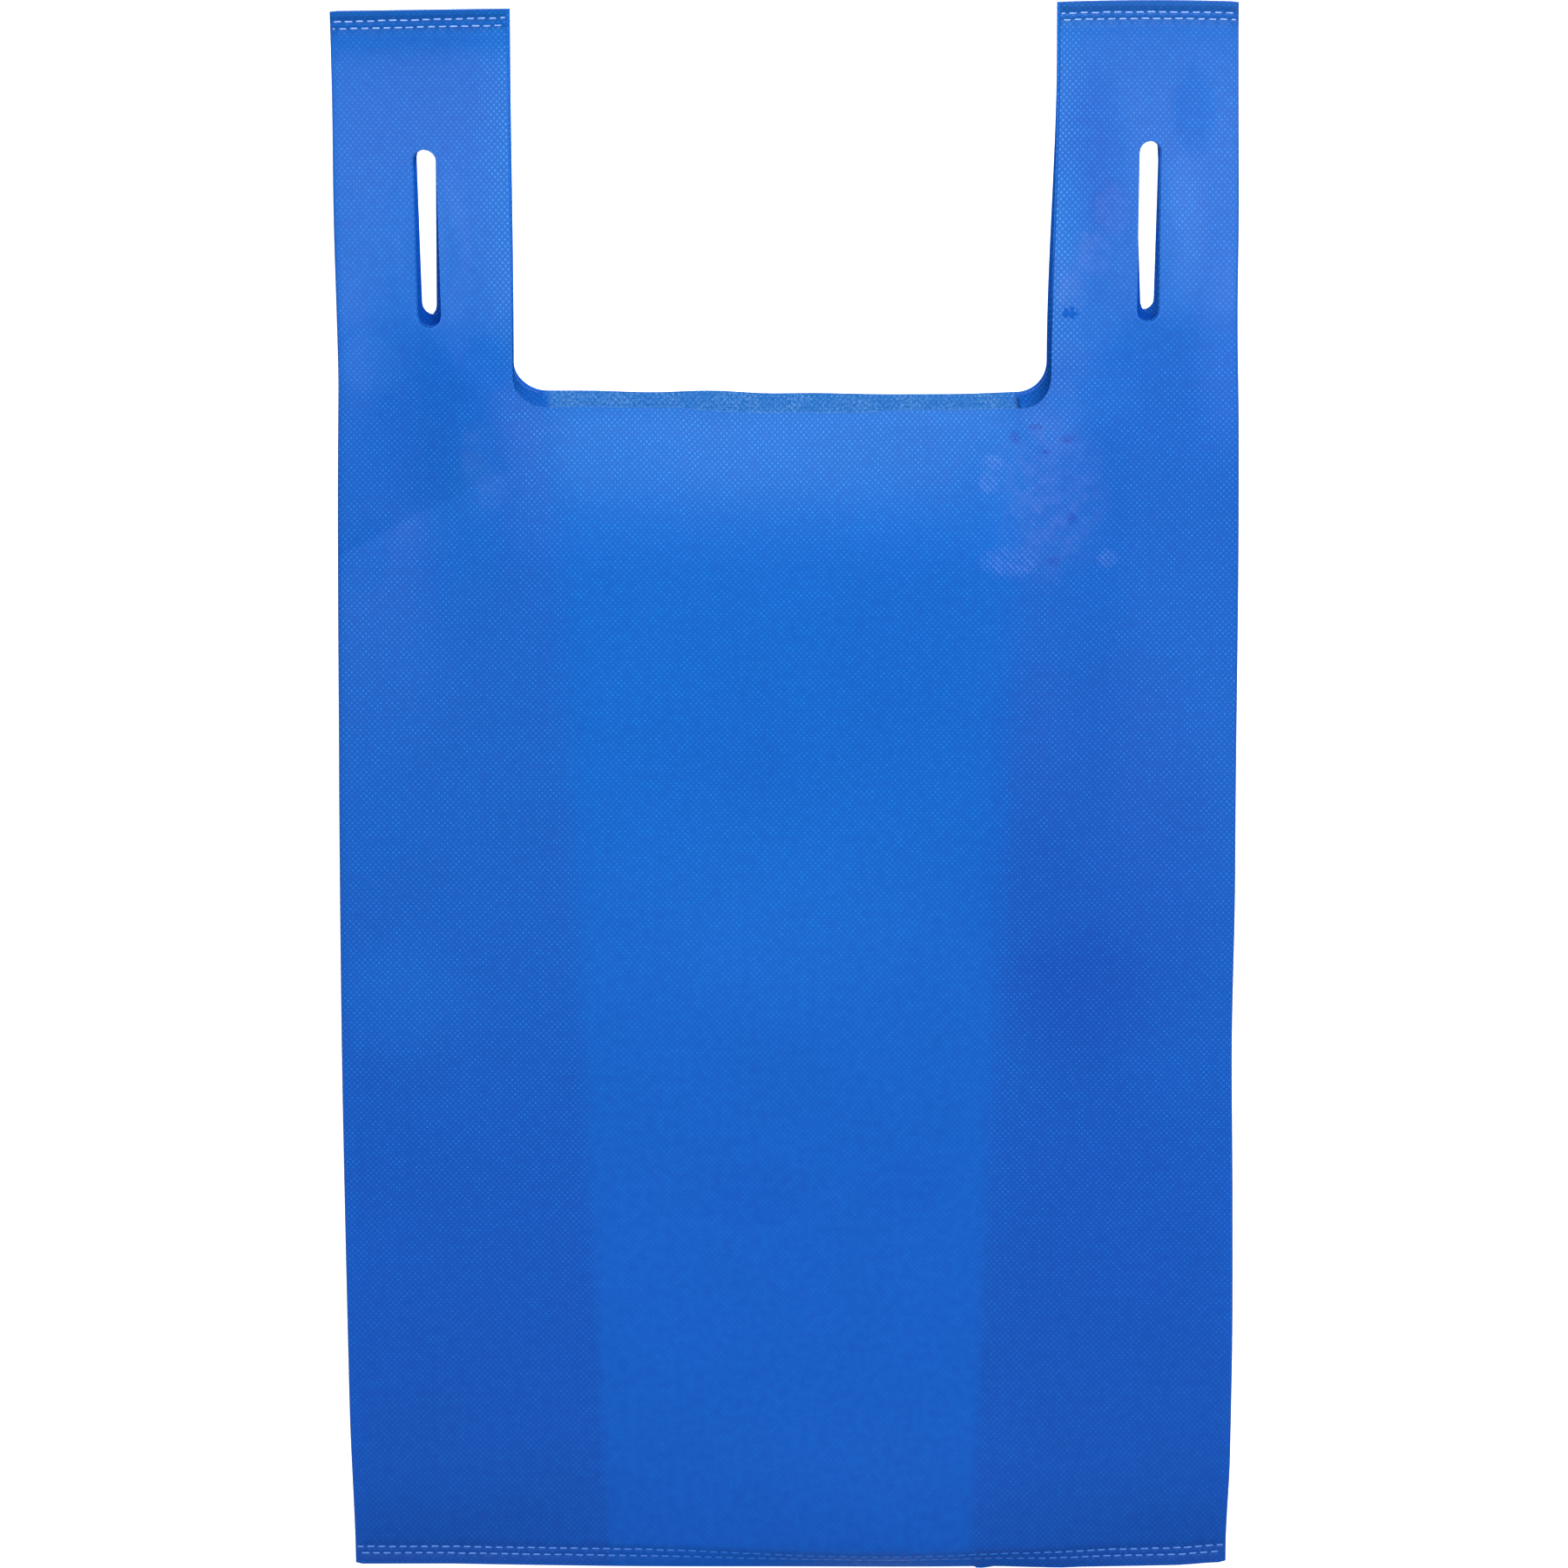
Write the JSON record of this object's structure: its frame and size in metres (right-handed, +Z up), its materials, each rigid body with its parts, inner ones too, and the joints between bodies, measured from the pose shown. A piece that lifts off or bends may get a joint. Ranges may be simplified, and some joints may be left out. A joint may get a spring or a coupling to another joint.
{
  "type": "shopping bag",
  "caption": "Vest-style shopping bag of blue bonded fleece, with folded side gussets, slotted carrying handles and dash-welded bottom and handle tops, lying flat.",
  "frame": {"origin": "middle of the bag's box, on the surface that the back panel lies on", "axes": "+X across the bag, +Y from the welded bottom edge towards the handles, +Z up through the front panel"},
  "size_m": [0.31, 0.559, 0.0304],
  "materials": {
    "fleece": "point-bonded non-woven polypropylene, matt with a soft sheen, embossed with fine staggered dots"
  },
  "bodies": {
    "root": {"bag": "fleece"}
  },
  "joints": []
}
